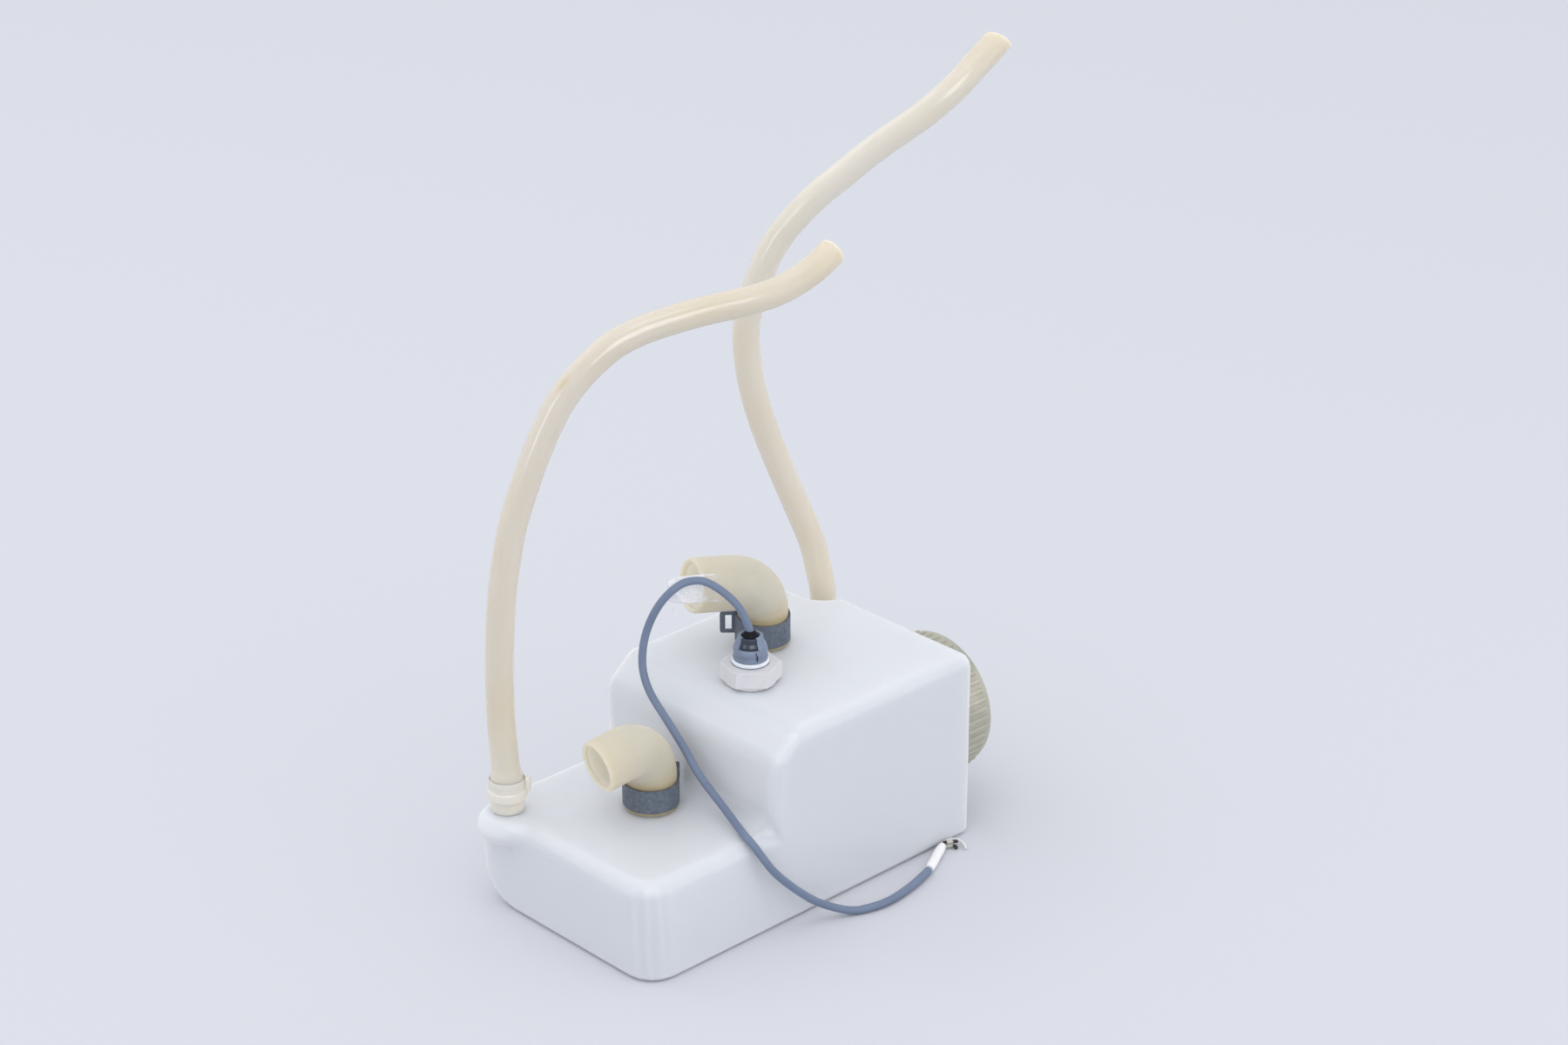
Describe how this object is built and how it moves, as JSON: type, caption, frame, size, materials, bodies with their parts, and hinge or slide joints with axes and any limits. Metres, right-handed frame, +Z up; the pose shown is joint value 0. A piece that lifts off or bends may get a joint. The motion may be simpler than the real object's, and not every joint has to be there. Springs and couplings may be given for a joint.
{
  "type": "stepped water tank with hoses and level switch",
  "caption": "Stepped white plastic water tank with a ribbed screw cap, clamped silicone elbows, long silicone hoses and a float level switch on a grey cable.",
  "frame": {"origin": "middle of the footprint, on the floor, without the hoses and the cable", "axes": "+X from the low front block to the filler cap, +Y from the sensor cable's side to the hoses' side, +Z up"},
  "size_m": [0.3572, 0.1912, 0.4571],
  "materials": {
    "tank_white": "blow-moulded, satin white",
    "cap_natural": "natural plastic, satin",
    "black_rubber": "black, matt",
    "aged_silicone": "milky silicone yellowed with age, satin",
    "natural_nylon": "natural nylon, satin",
    "grey_steel": "coated spring steel, satin grey",
    "ivory_plastic": "ivory plastic, satin",
    "white_thread": "white plastic",
    "gland_grey": "slate grey plastic",
    "reed_glass": "clear",
    "float_plastic": "off-white plastic",
    "magnet_ferrite": "ferrite, matt dark grey",
    "cable_slate": "slate grey sheath",
    "marker_sleeve": "white shrink sleeve, bare",
    "clear_film": "clear film",
    "core_brown": "brown insulation",
    "core_green": "pale green insulation",
    "core_white": "white insulation"
  },
  "bodies": {
    "tank": {"tank_body": "tank_white", "elbow_upper": "aged_silicone", "elbow_lower": "aged_silicone", "clamp_upper": "grey_steel", "clamp_lower": "grey_steel", "hose_front": "aged_silicone", "hose_rear": "aged_silicone", "hose_clip_front": "natural_nylon", "hose_clip_rear": "natural_nylon", "sensor_nut": "ivory_plastic", "sensor_washer": "ivory_plastic", "sensor_ring": "white_thread", "sensor_stem": "ivory_plastic", "reed_switch": "reed_glass", "float_stop": "grey_steel", "gland_body": "gland_grey", "gland_seal": "black_rubber", "sensor_cable": "cable_slate", "cable_sleeve": "marker_sleeve", "wire_brown": "core_brown", "wire_green": "core_green", "wire_white": "core_white", "mouth_film": "clear_film"},
    "float": {"float_shell": "float_plastic", "float_lid": "float_plastic", "float_magnet": "magnet_ferrite"},
    "gasket": {"cap_gasket": "black_rubber"},
    "cap": {"filler_cap": "cap_natural"}
  },
  "joints": [
    {"name": "cap_lift", "type": "slide", "parent": "tank", "child": "gasket", "axis": [1, 0, 0], "range_m": [0, 0.0151]},
    {"name": "cap_turn", "type": "hinge", "parent": "gasket", "child": "cap", "pos_m": [0.1186, -0.0191, 0.0602], "axis": [1, 0, 0], "range_deg": [0, 900]},
    {"name": "float_slide", "type": "slide", "parent": "tank", "child": "float", "axis": [0, 0, 1], "range_m": [0, 0.045]}
  ],
  "couplings": [
    {"joint": "cap_lift", "follows": "cap_turn", "m_per_rad": 0.00095493}
  ]
}
